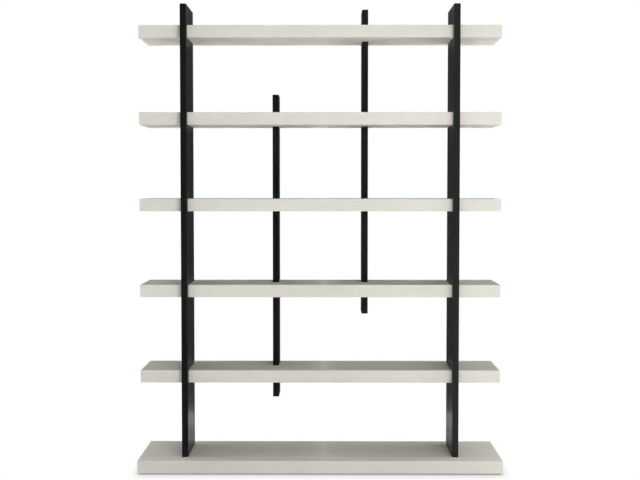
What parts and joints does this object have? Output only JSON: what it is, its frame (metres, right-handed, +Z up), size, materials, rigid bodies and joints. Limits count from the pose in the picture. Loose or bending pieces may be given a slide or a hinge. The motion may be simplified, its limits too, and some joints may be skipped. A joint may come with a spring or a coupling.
{
  "type": "etagere",
  "caption": "Tall open etagere: pale lacquered shelves over a deeper base, half-lapped into broad dark front posts and shorter, offset rear posts, on levelling feet.",
  "frame": {"origin": "on the floor, under the middle of the base's outline", "axes": "+X to the right along the shelves as seen from the front, +Y to the back, +Z up; the front faces -Y"},
  "size_m": [1.626, 0.406, 2.092],
  "materials": {
    "shelf_lacquer": "pale warm grey satin lacquer",
    "post_black": "black satin stain over open grain",
    "raw_core": "raw sawn poplar",
    "beech": "fluted raw beech",
    "zinc_steel": "zinc plated",
    "insert_brass": "turned",
    "shelf_plug": "moulded, pale",
    "post_plug": "moulded, black",
    "foot_nylon": "moulded nylon"
  },
  "bodies": {
    "etagere": {"shelf_1_top_panel": "shelf_lacquer", "shelf_1_bottom_panel": "shelf_lacquer", "shelf_1_edge_lippings": "shelf_lacquer", "shelf_1_core_blocks": "raw_core", "shelf_2_top_panel": "shelf_lacquer", "shelf_2_bottom_panel": "shelf_lacquer", "shelf_2_edge_lippings": "shelf_lacquer", "shelf_2_core_blocks": "raw_core", "shelf_3_top_panel": "shelf_lacquer", "shelf_3_bottom_panel": "shelf_lacquer", "shelf_3_edge_lippings": "shelf_lacquer", "shelf_3_core_blocks": "raw_core", "shelf_4_top_panel": "shelf_lacquer", "shelf_4_bottom_panel": "shelf_lacquer", "shelf_4_edge_lippings": "shelf_lacquer", "shelf_4_core_blocks": "raw_core", "shelf_5_top_panel": "shelf_lacquer", "shelf_5_bottom_panel": "shelf_lacquer", "shelf_5_edge_lippings": "shelf_lacquer", "shelf_5_core_blocks": "raw_core", "base_top_panel": "shelf_lacquer", "base_bottom_panel": "shelf_lacquer", "base_edge_lippings": "shelf_lacquer", "base_core_blocks": "raw_core", "front_post_left": "post_black", "rear_post_left": "post_black", "front_post_right": "post_black", "rear_post_right": "post_black", "front_lap_bolts": "zinc_steel", "front_lap_washers": "zinc_steel", "front_lap_inserts": "insert_brass", "front_lap_plugs": "shelf_plug", "rear_lap_bolts": "zinc_steel", "rear_lap_washers": "zinc_steel", "rear_lap_inserts": "insert_brass", "rear_lap_plugs": "post_plug", "post_foot_bolts": "zinc_steel", "post_foot_washers": "zinc_steel", "post_foot_inserts": "insert_brass", "post_foot_dowels": "beech", "leveller_inserts": "insert_brass"},
    "leveller_front_left": {"leveller_pad_front_left": "foot_nylon", "leveller_stem_front_left": "zinc_steel"},
    "leveller_front_right": {"leveller_pad_front_right": "foot_nylon", "leveller_stem_front_right": "zinc_steel"},
    "leveller_rear_left": {"leveller_pad_rear_left": "foot_nylon", "leveller_stem_rear_left": "zinc_steel"},
    "leveller_rear_right": {"leveller_pad_rear_right": "foot_nylon", "leveller_stem_rear_right": "zinc_steel"}
  },
  "joints": [
    {"name": "leveller_front_left_travel", "type": "slide", "parent": "etagere", "child": "leveller_front_left", "axis": [0, 0, -1], "range_m": [0, 0.02]},
    {"name": "leveller_front_right_travel", "type": "slide", "parent": "etagere", "child": "leveller_front_right", "axis": [0, 0, -1], "range_m": [0, 0.02]},
    {"name": "leveller_rear_left_travel", "type": "slide", "parent": "etagere", "child": "leveller_rear_left", "axis": [0, 0, -1], "range_m": [0, 0.02]},
    {"name": "leveller_rear_right_travel", "type": "slide", "parent": "etagere", "child": "leveller_rear_right", "axis": [0, 0, -1], "range_m": [0, 0.02]}
  ]
}
